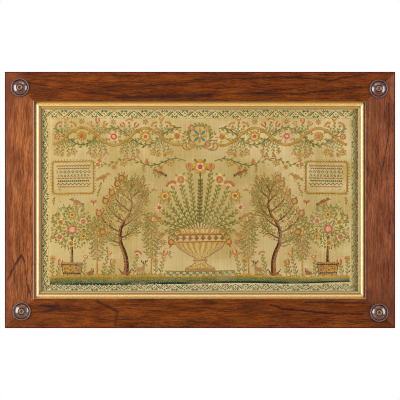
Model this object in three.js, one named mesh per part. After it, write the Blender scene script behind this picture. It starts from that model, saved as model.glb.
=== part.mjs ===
import * as THREE from 'three';

// A cross stitch sampler in its wall frame, in millimetres. +Z is up, the front faces -Y and the
// wall is the plane y = 0. The origin is the middle of the top rail's back face.

// Frame
const frameWidth = 900;
const frameHeight = 591;
const railWidth = 69;
const railDepth = 24; // wall to face
const outerArris = 2; // radius of the rounded front edge on the outside
const sightArris = 3; // radius of the rounded front edge beside the slip
const rebateWidth = 12;
const lipThickness = 7.5; // wood left in front of the rebate
const seatGap = 0.3; // between pieces that touch
const arcSteps = 4; // straight steps in each rounded edge

// Gilt slip: widths across its face, from the rail's edge to the sight edge, and heights off the wall
const slipBack = 7.5;
const slipFlat = { width: 3.2, height: 15.6 };
const slipBead = { radius: 3.4, height: 20.4 };
const slipGroove = { width: 1.2, height: 14.6 };
const slipFillet = { width: 4.8, height: 15.8, drop: 1.6 };
const slipVisible = slipFlat.width + 2 * slipBead.radius + slipGroove.width + slipFillet.width;

// Sampler cloth
const clothMargin = 12; // held behind the slip, all round
const clothThickness = 1.5;
const clothCell = 20; // grid step of the modelled cloth
const clothSwell = 1.6; // furthest that the stretched cloth stands forward
const clothSwellStart = 60; // distance in from the sight edge at which the swell is whole

// Backboard
const boardThickness = 4;
const boardEdgeGap = 0.5;

// Turned bosses: [radius, height off the rail] from the rim to the middle
const bossProfile = [
  [21.5, 0], [21.5, 1.6], [20.8, 3.4], [19.5, 4.2], [18.2, 3.5], [17.6, 2.3], [16.9, 2.6],
  [16.2, 3.5], [15, 4.4], [13.6, 5.3], [12, 6.1], [10.4, 6.8], [8.6, 7.5], [7.9, 7.3],
  [7.4, 7], [6.9, 8.3], [6.2, 9.5], [5.3, 10.1], [4.5, 10.2], [3.6, 9.7], [2.8, 8.8],
  [2, 8], [1, 7.6], [0, 7.5],
];
const bossSteps = 32;
// Each boss's centre, in from the frame's two nearest edges
const bosses = [
  { corner: 'top_left', fromSide: 35, fromEnd: 36 },
  { corner: 'top_right', fromSide: 38, fromEnd: 39 },
  { corner: 'bottom_left', fromSide: 39, fromEnd: 39 },
  { corner: 'bottom_right', fromSide: 37, fromEnd: 36 },
];

// Worked out from the sizes above
const frameCentreZ = railWidth / 2 - frameHeight / 2;
const sightWidth = frameWidth - 2 * (railWidth + slipVisible);
const sightHeight = frameHeight - 2 * (railWidth + slipVisible);
const clothFront = slipBack - seatGap;
const boardFront = clothFront - clothThickness - seatGap;

// The four sides, each a quarter turn about Y from the left one
const sides = [
  { name: 'left', quarterTurns: 0, length: frameHeight, across: frameWidth },
  { name: 'top', quarterTurns: 1, length: frameWidth, across: frameHeight },
  { name: 'right', quarterTurns: 2, length: frameHeight, across: frameWidth },
  { name: 'bottom', quarterTurns: 3, length: frameWidth, across: frameHeight },
];

const rosewood = () => new THREE.MeshStandardMaterial({ color: 0x7a4525, roughness: 0.42, metalness: 0 });
const turnedRosewood = () => new THREE.MeshStandardMaterial({ color: 0x4b2c25, roughness: 0.25, metalness: 0 });
const gilding = () => new THREE.MeshStandardMaterial({ color: 0xc79c55, roughness: 0.35, metalness: 0.8 });
const linen = () => new THREE.MeshStandardMaterial({ color: 0xc6b078, roughness: 0.95, metalness: 0 });
const pineBoard = () => new THREE.MeshStandardMaterial({ color: 0x9a7448, roughness: 0.8, metalness: 0 });

// A section is drawn with x as the distance in from the frame's outer edge and y as minus the
// height off the wall.
function railSection() {
  const section = new THREE.Shape();
  section.moveTo(0, 0);
  section.lineTo(0, outerArris - railDepth);
  section.absarc(outerArris, outerArris - railDepth, outerArris, Math.PI, 1.5 * Math.PI);
  section.absarc(railWidth - sightArris, sightArris - railDepth, sightArris, 1.5 * Math.PI, 2 * Math.PI);
  section.lineTo(railWidth, lipThickness - railDepth);
  section.lineTo(railWidth - rebateWidth, lipThickness - railDepth);
  section.lineTo(railWidth - rebateWidth, 0);
  section.closePath();
  return section;
}

function slipSection() {
  const section = new THREE.Shape();
  const hiddenEdge = railWidth - rebateWidth + seatGap;
  const underLip = railDepth - lipThickness - seatGap;
  const beadCentre = railWidth + slipFlat.width + slipBead.radius;
  const beadBase = slipBead.height - slipBead.radius;
  const filletStart = beadCentre + slipBead.radius + slipGroove.width;
  const sightEdge = filletStart + slipFillet.width;
  section.moveTo(hiddenEdge, -slipBack);
  section.lineTo(hiddenEdge, -underLip);
  section.lineTo(railWidth + seatGap, -underLip);
  section.lineTo(railWidth + seatGap, -slipFlat.height);
  section.lineTo(railWidth + slipFlat.width, -slipFlat.height);
  section.absarc(beadCentre, -beadBase, slipBead.radius, Math.PI, 2 * Math.PI);
  section.lineTo(filletStart - slipGroove.width, -slipGroove.height);
  section.lineTo(filletStart, -slipGroove.height);
  section.lineTo(filletStart, -slipFillet.height);
  section.lineTo(sightEdge, slipFillet.drop - slipFillet.height);
  section.lineTo(sightEdge, -slipBack);
  section.closePath();
  return section;
}

// One length of moulding, mitred at both ends and turned to its side of the frame
function mitredLength(section, side, name, material) {
  const geometry = new THREE.ExtrudeGeometry(section, {
    depth: side.length,
    steps: 1,
    bevelEnabled: false,
    curveSegments: arcSteps,
  });
  const place = geometry.attributes.position;
  const setBack = seatGap / Math.SQRT2;
  for (let i = 0; i < place.count; i += 1) {
    const inward = place.getX(i);
    const end = place.getZ(i) > side.length / 2 ? 1 : -1;
    place.setZ(i, end * (side.length / 2 - inward - setBack));
    place.setX(i, inward - side.across / 2);
  }
  const mesh = new THREE.Mesh(geometry, material);
  mesh.name = name;
  mesh.rotation.y = (side.quarterTurns * Math.PI) / 2;
  return mesh;
}

function boss(place) {
  const profile = bossProfile.map(([radius, height]) => new THREE.Vector2(radius, height));
  profile.unshift(new THREE.Vector2(0, 0));
  const mesh = new THREE.Mesh(new THREE.LatheGeometry(profile, bossSteps), turnedRosewood());
  const sideways = place.corner.endsWith('left') ? -1 : 1;
  const upward = place.corner.startsWith('top') ? 1 : -1;
  mesh.name = `boss_${place.corner}`;
  mesh.rotation.x = Math.PI;
  mesh.position.set(
    sideways * (frameWidth / 2 - place.fromSide),
    -(railDepth + seatGap),
    upward * (frameHeight / 2 - place.fromEnd),
  );
  return mesh;
}

// How far the cloth stands forward of its flat place: nothing at the slip, slack in soft waves inside
function swell(x, z) {
  const inside = Math.min(sightWidth / 2 - Math.abs(x), sightHeight / 2 - Math.abs(z));
  const rise = THREE.MathUtils.smoothstep(inside, 0, clothSwellStart);
  const waves = 0.5 + 0.28 * Math.sin(x / 61 + 0.6) * Math.cos(z / 83) + 0.22 * Math.sin(x / 37 - z / 52);
  return clothSwell * rise * waves;
}

function samplerCloth() {
  const width = sightWidth + 2 * clothMargin;
  const height = sightHeight + 2 * clothMargin;
  const columns = Math.round(width / clothCell);
  const rows = Math.round(height / clothCell);
  const geometry = new THREE.BoxGeometry(width, clothThickness, height, columns, 1, rows);
  const place = geometry.attributes.position;
  const middle = -(clothFront - clothThickness / 2);
  for (let i = 0; i < place.count; i += 1) {
    place.setY(i, place.getY(i) + middle - swell(place.getX(i), place.getZ(i)));
  }
  const mesh = new THREE.Mesh(geometry, linen());
  mesh.name = 'sampler_cloth';
  return mesh;
}

function backboard() {
  const rebateInset = 2 * (railWidth - rebateWidth + boardEdgeGap);
  const geometry = new THREE.BoxGeometry(frameWidth - rebateInset, boardThickness, frameHeight - rebateInset);
  const mesh = new THREE.Mesh(geometry, pineBoard());
  mesh.name = 'backboard';
  mesh.position.y = -(boardFront - boardThickness / 2);
  return mesh;
}

const sampler = new THREE.Group();
sampler.position.z = frameCentreZ;
sides.forEach((side) => {
  sampler.add(mitredLength(railSection(), side, `rail_${side.name}`, rosewood()));
  sampler.add(mitredLength(slipSection(), side, `slip_${side.name}`, gilding()));
});
bosses.forEach((place) => sampler.add(boss(place)));
sampler.add(samplerCloth(), backboard());

export default sampler;
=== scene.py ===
import cmath
import math
import random

import bmesh
import bpy
import numpy as np
from mathutils import Matrix, Vector, noise


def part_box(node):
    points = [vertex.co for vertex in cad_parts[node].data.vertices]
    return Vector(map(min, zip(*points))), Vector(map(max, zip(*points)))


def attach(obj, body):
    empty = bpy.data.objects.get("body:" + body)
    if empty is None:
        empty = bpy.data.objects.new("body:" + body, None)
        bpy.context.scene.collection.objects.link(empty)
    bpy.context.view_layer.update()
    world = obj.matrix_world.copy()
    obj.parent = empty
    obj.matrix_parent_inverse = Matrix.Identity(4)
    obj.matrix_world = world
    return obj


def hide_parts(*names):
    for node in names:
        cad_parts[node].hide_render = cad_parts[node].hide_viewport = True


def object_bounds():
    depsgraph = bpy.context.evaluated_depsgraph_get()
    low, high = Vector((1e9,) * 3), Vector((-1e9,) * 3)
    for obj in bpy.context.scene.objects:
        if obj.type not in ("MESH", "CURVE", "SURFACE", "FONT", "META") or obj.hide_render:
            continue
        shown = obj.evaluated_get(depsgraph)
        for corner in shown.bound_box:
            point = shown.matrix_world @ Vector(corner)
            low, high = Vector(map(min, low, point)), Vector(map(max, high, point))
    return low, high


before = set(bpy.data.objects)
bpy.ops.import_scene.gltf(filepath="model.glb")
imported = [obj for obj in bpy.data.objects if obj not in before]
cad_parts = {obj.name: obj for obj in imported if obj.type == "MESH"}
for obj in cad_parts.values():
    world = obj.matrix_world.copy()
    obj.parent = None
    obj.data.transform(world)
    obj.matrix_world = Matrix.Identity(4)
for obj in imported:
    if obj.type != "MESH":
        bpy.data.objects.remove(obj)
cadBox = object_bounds()
mm = 0.001
both = (1, -1)


# Sizes read from the frame, in millimetres. The back is y = 0 and the front faces -Y.
def across(node, axis):
    low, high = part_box(node)
    return low[axis] / mm, high[axis] / mm


def widthOf(node, axis):
    low, high = across(node, axis)
    return high - low


frameWidth = (cadBox[1][0] - cadBox[0][0]) / mm
frameHeight = (cadBox[1][2] - cadBox[0][2]) / mm
middleZ = (cadBox[1][2] + cadBox[0][2]) / 2 / mm
railFace = -across("rail_left", 1)[0]
railWidth = widthOf("rail_left", 0)
slipEdge = across("slip_left", 0)[1] + frameWidth / 2
sightX = frameWidth / 2 - slipEdge
sightZ = frameHeight / 2 - slipEdge
clothWidth = widthOf("sampler_cloth", 0)
clothHeight = widthOf("sampler_cloth", 2)
print("frame", round(frameWidth), round(frameHeight), "sight", round(2 * sightX), round(2 * sightZ))


def linear(level):
    # a screen's level, 0 to 255, as the value that shaders use
    share = level / 255
    return share / 12.92 if level <= 10 else ((share + 0.055) / 1.055) ** 2.4


def paint(red, green, blue):
    return linear(red), linear(green), linear(blue), 1


class Wire:
    # an output socket; sums on it add Math nodes
    def __init__(self, finish, socket):
        self.finish = finish
        self.socket = socket

    def __add__(self, other):
        return self.finish.math("ADD", self, other)

    def __radd__(self, other):
        return self.finish.math("ADD", other, self)

    def __sub__(self, other):
        return self.finish.math("SUBTRACT", self, other)

    def __rsub__(self, other):
        return self.finish.math("SUBTRACT", other, self)

    def __mul__(self, other):
        return self.finish.math("MULTIPLY", self, other)

    def __rmul__(self, other):
        return self.finish.math("MULTIPLY", other, self)

    def __truediv__(self, other):
        return self.finish.math("DIVIDE", self, other)

    def __rtruediv__(self, other):
        return self.finish.math("DIVIDE", other, self)


class Finish:
    # a material, with the short ways to its nodes
    def __init__(self, name, **fixed):
        self.material = bpy.data.materials.new(name)
        self.material.use_nodes = True
        self.tree = self.material.node_tree
        self.shader = self.tree.nodes["Principled BSDF"]
        self.coords = None
        for socket, value in fixed.items():
            self.give(socket.replace("_", " "), value)

    def add(self, kind, settings, sockets, out=0):
        node = self.tree.nodes.new(kind)
        for key, value in settings.items():
            setattr(node, key, value)
        for key, value in sockets.items():
            self.feed(node.inputs[key], value)
        return Wire(self, node.outputs[out])

    def feed(self, socket, value):
        if isinstance(value, Wire):
            self.tree.links.new(value.socket, socket)
        else:
            socket.default_value = value

    def give(self, socket, value):
        self.feed(self.shader.inputs[socket], value)

    def math(self, operation, *values):
        return self.add("ShaderNodeMath", {"operation": operation}, dict(enumerate(values)))

    def place(self):
        # object coordinates in millimetres
        if self.coords is None:
            where = self.add("ShaderNodeTexCoord", {}, {}, "Object")
            scaled = self.add("ShaderNodeVectorMath", {"operation": "SCALE"}, {0: where, "Scale": 1 / mm})
            parts = self.add("ShaderNodeSeparateXYZ", {}, {0: scaled}).socket.node
            self.coords = [Wire(self, socket) for socket in parts.outputs]
        return self.coords

    def attribute(self, name):
        return self.add("ShaderNodeAttribute", {"attribute_name": name}, {}, "Fac")

    def noise(self, x, y, z, detail=2.0, roughness=0.5):
        where = self.add("ShaderNodeCombineXYZ", {}, {0: x, 1: y, 2: z})
        return self.add("ShaderNodeTexNoise", {}, {"Vector": where, "Scale": 1.0, "Detail": detail,
                                                    "Roughness": roughness})

    def step(self, value, low, high):
        # 0 at low, 1 at high, with soft ends
        return self.add("ShaderNodeMapRange", {"interpolation_type": "SMOOTHSTEP"},
                        {"Value": value, "From Min": low, "From Max": high})

    def band(self, value, low, high, soft):
        # 1 from low to high, 0 beyond them
        return self.step(value, low - soft, low + soft) * self.step(value, high + soft, high - soft)

    def mix(self, share, first, second, blend="MIX"):
        return self.add("ShaderNodeMix", {"data_type": "RGBA", "blend_type": blend},
                        {0: share, 6: first, 7: second}, 2)

    def wash(self, colour, share, tone):
        # a tone laid over the colour so far
        return self.mix(share, colour, paint(*tone))

    def bump(self, height, distance, strength):
        # distance in millimetres
        self.give("Normal", self.add("ShaderNodeBump", {}, {"Strength": strength, "Distance": distance * mm,
                                                             "Height": height}))


# The four sides. Along runs with the grain from the frame's middle, inward from the outer edge:
# each is an axis and a sign.
sides = {
    "left": {"turns": 0, "length": frameHeight, "spread": frameWidth, "along": (2, 1), "inward": (0, 1)},
    "top": {"turns": 1, "length": frameWidth, "spread": frameHeight, "along": (0, 1), "inward": (2, -1)},
    "right": {"turns": 2, "length": frameHeight, "spread": frameWidth, "along": (2, 1), "inward": (0, -1)},
    "bottom": {"turns": 3, "length": frameWidth, "spread": frameHeight, "along": (0, 1), "inward": (2, 1)},
}


def sidePlace(finish, side):
    x, y, z = finish.place()
    spots = [x, y, z - middleZ]
    axis, sign = side["along"]
    along = spots[axis] * sign
    axis, sign = side["inward"]
    return along, spots[axis] * sign + side["spread"] / 2


# Each rail's colours, how much its low and its high end take on the end tone and over what length,
# lines that run its whole length: from, to, share, colour (at the sight edge, pale lines are painted
# highlights and dark lines painted shade), and veins: along, inward, along, inward, half width, darkness
rosewoodLook = {
    # The left and right rails' pale and deep tones are lighter than the top and bottom's, the left lightest:
    # painted light, for how the side lamps fall on them
    "top": {
        "pale": (147, 70, 6), "deep": (72, 30, 3), "dust": (166, 98, 44), "endTone": (172, 98, 50),
        "ends": (0.34, 0.0), "endReach": 60, "seed": 3.1, "polish": 0.0,
        "linesAndArrisLight": [(67.6, 70, 0.35, (190, 140, 60))],
        "veins": [(-401, 24, -260, 48, 1.7, 0.55), (-260, 48, -122, 60, 2.2, 0.6),
                  (-190, 59, 20, 55, 4.2, 0.75), (-219, 36, -58, 29, 1.8, 0.5), (-9, 18, 210, 12, 1.9, 0.65),
                  (210, 12, 302, 20, 2.4, 0.75), (302, 20, 373, 7, 2.0, 0.7), (88, 49, 230, 51, 2.2, 0.6),
                  (230, 51, 371, 35, 1.9, 0.7), (-90, 60, -20, 62, 5.0, 0.5)],
    },
    "bottom": {
        "pale": (146, 71, 6), "deep": (76, 32, 3), "dust": (164, 98, 44), "endTone": (76, 32, 3),
        "ends": (0.0, 0.15), "endReach": 110, "seed": 7.7, "polish": 0.0,
        "linesAndArrisLight": [(67.6, 70, 0.5, (206, 160, 100))],
        "veins": [(-236, 61, -190, 38, 2.2, 0.75), (-190, 38, -196, 7, 1.8, 0.5),
                  (165, 53, 192, 45, 2.0, 0.8), (192, 45, 290, 35, 2.2, 0.85), (290, 35, 373, 32, 1.6, 0.7),
                  (244, 60, 377, 58, 1.8, 0.6), (-362, 52, -335, 48, 3.6, 0.75),
                  (-356, 38, -330, 44, 3.0, 0.7), (-330, 58, -322, 40, 2.6, 0.5)],
    },
    "left": {
        "pale": (186, 108, 56), "deep": (108, 54, 22), "dust": (204, 146, 106), "endTone": (108, 54, 22),
        "ends": (0.0, 0.6), "endReach": 130, "seed": 11.3, "polish": 0.38,
        "linesAndArrisLight": [(2.5, 12, 0.42, (116, 58, 28)), (65, 67.1, 0.5, (204, 170, 160)),
                  (67.4, 70, 0.75, (104, 74, 34))],
        "veins": [(-183, 7, -150, 24, 1.8, 0.75), (-150, 24, -128, 38, 2.4, 0.8),
                  (-128, 38, -141, 45, 2.0, 0.8), (-141, 45, -184, 49, 1.3, 0.6),
                  (-184, 49, -222, 60, 1.8, 0.65), (-10, 24, -16, 23, 1.3, 0.6), (60, 14, 20, 10, 2.2, 0.35)],
    },
    "right": {
        "pale": (169, 97, 59), "deep": (99, 50, 27), "dust": (184, 130, 100), "endTone": (92, 44, 22),
        "ends": (0.65, 0.0), "endReach": 210, "seed": 16.9, "polish": 0.4,
        "linesAndArrisLight": [(62.8, 66.9, 0.4, (84, 46, 20)), (67.2, 70, 0.2, (204, 178, 170))],
        "veins": [(222, 15, 169, 14, 1.7, 0.6), (169, 14, 121, 20, 1.8, 0.65), (121, 20, 70, 30, 1.6, 0.55),
                  (70, 30, -20, 34, 1.8, 0.3), (-52, 12, -78, 13, 1.4, 0.6), (-160, 15, -186, 17, 1.4, 0.5),
                  (74, 63, 58, 62, 1.4, 0.7)],
    },
}
# What the rails share: tones, and how long and wide the figure's marks are, with detail and roughness
figureLook = {
    "tones": {"cloud": (206, 196, 190), "line": (54, 22, 26), "pore": (50, 24, 24), "vein": (37, 18, 18),
              "edge": (84, 6, 0), "bare": (126, 88, 56)},
    "marks": {"wander": (90, 40, 2.0, 0.5), "figure": (110, 9, 3.0, 0.6), "streak": (30, 2.1, 3.0, 0.6),
              "hair": (9, 1.1, 2.0, 0.6), "cloud": (55, 30, 1.0, 0.5), "pore": (7, 0.42, 1.0, 0.5),
              "ragged": (20, 5, 3.0, 0.5), "shiver": (6, 6, 2.0, 0.5), "line": (95, 1.7, 2.0, 0.5),
              "dust": (30, 0.85, 2.0, 0.6)},
    "wander": 16, "ragged": 7, "shiver": 2.4, "veinStretch": 0.45,
}


def veinShade(wood, along, grain, shiver, vein):
    # dark along a straight run, and fading beside it
    startAlong, startIn, endAlong, endIn, halfWidth, darkness = vein
    runAlong, runIn = endAlong - startAlong, endIn - startIn
    squared = runAlong ** 2 + runIn ** 2
    fromAlong, fromIn = along - startAlong, grain - startIn
    share = wood.math("MAXIMUM", fromAlong * (runAlong / squared) + fromIn * (runIn / squared), 0.0)
    share = wood.math("MINIMUM", share, 1.0)
    offAlong = (fromAlong - share * runAlong) * figureLook["veinStretch"]
    offIn = fromIn - share * runIn
    apart = wood.math("SQRT", offAlong * offAlong + offIn * offIn)
    return wood.step(apart + shiver, halfWidth * 1.7, halfWidth * 0.2) * darkness


def rosewood(name):
    look, tones = rosewoodLook[name], figureLook["tones"]
    wood = Finish("rosewood_" + name, Coat_Roughness=0.12, Specular_IOR_Level=0.14)
    along, inward = sidePlace(wood, sides[name])
    y = wood.place()[1]
    grain = inward - (y + railFace)  # the figure runs on over the edges
    seeds = {kind: look["seed"] + number for number, kind in enumerate(figureLook["marks"])}

    def marks(kind, over):
        length, width, detail, roughness = figureLook["marks"][kind]
        return wood.noise(along / length, over / width, seeds[kind], detail, roughness)

    bent = grain + (marks("wander", grain) - 0.5) * figureLook["wander"]
    streak = marks("streak", bent)
    tone = marks("figure", bent) * 0.3 + streak * 0.4 + marks("hair", bent) * 0.3
    colour = wood.mix(wood.step(tone, 0.38, 0.62), paint(*look["deep"]), paint(*look["pale"]))
    colour = wood.wash(colour, wood.step(marks("line", bent), 0.6, 0.68) * 0.5, tones["line"])
    colour = wood.wash(colour, wood.step(marks("dust", bent), 0.52, 0.7) * 0.34, look["dust"])
    cloud = wood.mix((marks("cloud", grain) - 0.3) / 0.4, paint(*tones["cloud"]), paint(255, 255, 255))
    colour = wood.mix(1.0, colour, cloud, "MULTIPLY")
    end, reach = sides[name]["length"] / 2, look["endReach"]
    low, high = look["ends"]
    ends = wood.step(along, end - reach, end - 10) * high + wood.step(along, reach - end, 10 - end) * low
    colour = wood.wash(colour, ends, look["endTone"])
    pore = wood.step(marks("pore", bent), 0.6, 0.72)
    colour = wood.wash(colour, pore * 0.45, tones["pore"])
    ragged = grain + (marks("ragged", grain) - 0.5) * figureLook["ragged"]
    shiver = (marks("shiver", grain) - 0.5) * figureLook["shiver"]
    dark = 0
    for vein in look["veins"]:
        dark = wood.math("MAXIMUM", dark, veinShade(wood, along, ragged, shiver, vein))
    colour = wood.wash(colour, dark, tones["vein"])
    # The outer arris and the outer side take a deep red: painted shade
    edge = wood.step(grain, 3.0, 1.9) * wood.step(grain, -8, -5)  # the outer arris
    colour = wood.wash(colour, edge * 0.95, tones["edge"])
    # Lines along the rail: at the sight edge, the pale ones are painted highlights and the dark ones painted
    # shade
    for nearer, further, share, lineTone in look["linesAndArrisLight"]:
        colour = wood.wash(colour, wood.band(inward, nearer, further, 0.5) * share, lineTone)
    back = wood.step(y, -0.4, -0.1)  # bare wood against the wall
    colour = wood.wash(colour, back, tones["bare"])
    sightArris = wood.step(grain, railWidth - 3.4, railWidth - 2.2) * look["polish"]
    wood.give("Base Color", colour)
    wood.give("Roughness", 0.36 + streak * 0.16 + (back + edge) * 0.3)
    wood.give("Coat Weight", 0.12 - (back + edge) * 0.06 + sightArris)
    wood.bump(pore * -0.6 + streak * 0.4 - dark * 0.3, 0.12, 0.5)
    return wood.material


# Each side's gold, darker and lighter, set paler on the left and right for their creamier highlights: painted
# light.
# Its dulled bands: from and to, in millimetres from the rail, how dull, and the colour. They are painted
# light:
# pale bands are painted highlights on the flat, bead and fillet, dark ones painted shade, the darkest painted
# shadow
gildingLightAndShade = {
    "left": {
        "metal": ((246, 202, 142), (252, 218, 174)),
        "bands": [(-1, 2.6, 0.9, (206, 156, 30)), (2.6, 5.5, 0.6, (255, 250, 214)),
                  (7.8, 9.8, 0.4, (250, 224, 160)), (9.8, 12, 0.9, (244, 184, 86)),
                  (12, 14.2, 0.9, (116, 96, 52)), (14.2, 18, 0.9, (44, 32, 8))],
    },
    "top": {
        "metal": ((242, 186, 88), (250, 208, 116)),
        "bands": [(-1, 2.8, 0.9, (188, 142, 64)), (2.8, 5.1, 0.8, (242, 202, 112)),
                  (7.8, 10.2, 0.7, (252, 216, 128)), (10.2, 13, 0.7, (178, 138, 80)),
                  (13, 18, 0.8, (154, 126, 80))],
    },
    "right": {
        "metal": ((246, 208, 140), (250, 228, 174)),
        "bands": [(-1, 3.2, 0.95, (148, 100, 0)), (3.2, 5, 0.5, (200, 152, 62)),
                  (9.6, 12.4, 0.85, (255, 236, 176)), (12.4, 14.6, 0.9, (118, 88, 30)),
                  (14.6, 18, 0.9, (190, 156, 94))],
    },
    "bottom": {
        "metal": ((248, 202, 116), (252, 220, 148)),
        "bands": [(-1, 2.9, 0.9, (212, 172, 90)), (2.9, 5.2, 0.95, (255, 240, 190)),
                  (5.2, 7.2, 0.7, (250, 216, 144)), (7.2, 9.8, 1.0, (178, 138, 72)),
                  (9.8, 12.1, 0.9, (180, 140, 86)), (12.1, 14.4, 0.9, (168, 140, 102)),
                  (14.4, 18, 0.9, (128, 106, 68))],
    },
}
gildingWear = {"rubbed": (160, 98, 50), "grooveGrimeAndShade": (112, 74, 18), "specks": (96, 66, 34)}


def gilding(name):
    look = gildingLightAndShade[name]
    gold = Finish("gilding_" + name, Coat_Roughness=0.26, Coat_IOR=1.6)
    along, inward = sidePlace(gold, sides[name])
    fromRail = inward - railWidth
    seed = 3.0 * sides[name]["turns"]
    cloud = gold.noise(along / 34, inward / 6, seed, 3.0)
    speck = gold.noise(along / 2.4, inward / 1.6, seed + 1, 3.0, 0.6)
    rub = gold.noise(along / 26, inward / 2.2, seed + 2, 4.0, 0.65)
    worn = gold.step(rub, 0.6, 0.74) * 0.5
    colour = gold.mix(cloud, *(paint(*tone) for tone in look["metal"]))
    colour = gold.wash(colour, worn, gildingWear["rubbed"])
    paintedLightShare = 0
    # Bands of painted highlight and painted shade, laid matte
    for nearer, further, share, tone in look["bands"]:
        band = gold.band(fromRail, nearer, further, 0.4) * share
        colour = gold.wash(colour, band, tone)
        paintedLightShare = band + paintedLightShare
    # Darker and duller in the groove and at the fillet's foot: grime, and painted shade
    groove = gold.step(fromRail, 9.6, 10.3) * gold.step(fromRail, 12, 11)
    grooveGrimeAndShade = groove * 0.25 * (0.7 + speck * 0.5)
    colour = gold.wash(colour, grooveGrimeAndShade, gildingWear["grooveGrimeAndShade"])
    colour = gold.wash(colour, gold.step(speck, 0.64, 0.76) * 0.35, gildingWear["specks"])
    gold.give("Base Color", colour)
    gold.give("Coat Weight", 1.0 - paintedLightShare)
    gold.give("Metallic", 0.94 - worn * 0.7 - grooveGrimeAndShade * 0.3 - paintedLightShare * 0.9)
    gold.give("Roughness", 0.4 + cloud * 0.1 + worn * 0.2 + grooveGrimeAndShade * 0.2 + paintedLightShare * 0.2)
    gold.bump(speck * 0.5 + cloud, 0.1, 0.4)
    return gold.material


# The bosses' wood, and rings of tone on it: from and to, in millimetres from the middle, share, colour.
# The middle pit and the two grooves are darkened as painted shade; the pale lilac-grey rim is a painted
# reflection
turnedLook = {
    "dark": (46, 26, 24), "pale": (92, 56, 48),
    "rings": [(-1, 2.2, 0.9, (52, 24, 14)), (2.8, 6.4, 0.7, (150, 122, 80)), (7, 8.2, 0.8, (44, 30, 18)),
              (8.8, 16, 0.75, (112, 60, 34)), (16.7, 18.3, 0.6, (36, 22, 22)),
              (18.8, 21.2, 0.5, (132, 112, 114))],
}


def turnedWood():
    wood = Finish("turned_rosewood", Coat_Roughness=0.16, Coat_IOR=2.05)
    x, y, z = wood.place()
    reach, sideways = wood.attribute("reach"), wood.attribute("sideways")
    streak = wood.noise(x / 9, y / 6, z / 2.4)
    colour = wood.mix(wood.step(streak, 0.36, 0.62), paint(*turnedLook["dark"]), paint(*turnedLook["pale"]))
    # Painted shade in the pit and grooves, and a painted reflection on the rim
    for nearer, further, share, tone in turnedLook["rings"]:
        colour = wood.wash(colour, wood.band(reach, nearer, further, 0.5) * share, tone)
    # the dome is polished, more so on its left and right
    polish = 1.0 - wood.step(reach, 16.5, 18.0) * 0.75 - wood.step(reach, 7.0, 6.0) * 0.6
    wood.give("Base Color", colour)
    wood.give("Roughness", 0.3 + streak * 0.1)
    wood.give("Coat Weight", polish * (wood.step(sideways, 0.4, 0.85) * 0.75 + 0.08))
    wood.bump(streak, 0.006, 0.3)
    return wood.material


pineLook = {"pale": (164, 126, 82), "rings": (126, 90, 54), "stain": (92, 66, 42)}


def pine():
    board = Finish("old_pine", Roughness=0.82)
    x, y, z = board.place()
    wander = board.noise(x / 260, z / 110, 4.0)
    rings = board.noise(x / 900, (z + wander * 34) / 6, 9.0)
    hair = board.noise(x / 60, z / 0.9, 2.0)
    stain = board.noise(x / 120, z / 90, 6.0, 3.0)
    figure = board.step(rings * 0.7 + hair * 0.3, 0.3, 0.72)
    colour = board.mix(figure, paint(*pineLook["pale"]), paint(*pineLook["rings"]))
    board.give("Base Color", board.wash(colour, board.step(stain, 0.5, 0.74) * 0.35, pineLook["stain"]))
    board.bump(hair * 0.5 + rings, 0.1, 0.4)
    return board.material


def inScene(name, data):
    thing = bpy.data.objects.new(name, data)
    bpy.context.scene.collection.objects.link(thing)
    return thing


def placed(name, mesh, material):
    piece = inScene(name, mesh)
    mesh.materials.append(material)
    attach(piece, "root")
    return piece


def finished(bm, name, material, centre, sharp):
    # a mesh drawn in millimetres about its centre becomes a piece
    bmesh.ops.translate(bm, verts=bm.verts, vec=centre)
    bmesh.ops.scale(bm, verts=bm.verts, vec=(mm, mm, mm))
    bmesh.ops.recalc_face_normals(bm, faces=bm.faces)
    mesh = bpy.data.meshes.new(name)
    bm.to_mesh(mesh)
    bm.free()
    mesh.shade_smooth()
    mesh.set_sharp_from_angle(angle=math.radians(sharp))
    return placed(name, mesh, material)


def arc(centre, radius, start, end, steps):
    turn = [math.radians(start + (end - start) * i / steps) for i in range(steps + 1)]
    return [(centre[0] + radius * math.cos(a), centre[1] + radius * math.sin(a)) for a in turn]


# Sections are inward from the outer edge, and height off the wall
railLook = {"outerArris": 2, "sightArris": 3, "rebate": 12, "lip": 7.5, "arcSteps": 8}
slipLook = {"back": 7.5, "underLip": 16.2, "hidden": 11.7, "gap": 0.3, "flatWidth": 3.2, "flatTop": 15.6,
            "beadRadius": 3.4, "beadTop": 20.4, "beadSteps": 20, "grooveWidth": 1.2, "grooveTop": 14.6,
            "filletWidth": 4.8, "filletTop": 15.8, "filletDrop": 1.6, "filletEdge": 0.5}
mouldingLook = {"cuts": 30, "setBack": 0.3 / math.sqrt(2), "waver": 0.16, "waverLength": 45, "waverWidth": 20}


def railSection(look):
    outer, sight = look["outerArris"], look["sightArris"]
    rebateEdge, lipBack = railWidth - look["rebate"], railFace - look["lip"]
    return [(0, 0), *arc((outer, railFace - outer), outer, 180, 90, look["arcSteps"]),
            *arc((railWidth - sight, railFace - sight), sight, 90, 0, look["arcSteps"]),
            (railWidth, lipBack), (rebateEdge, lipBack), (rebateEdge, 0)]


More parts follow.
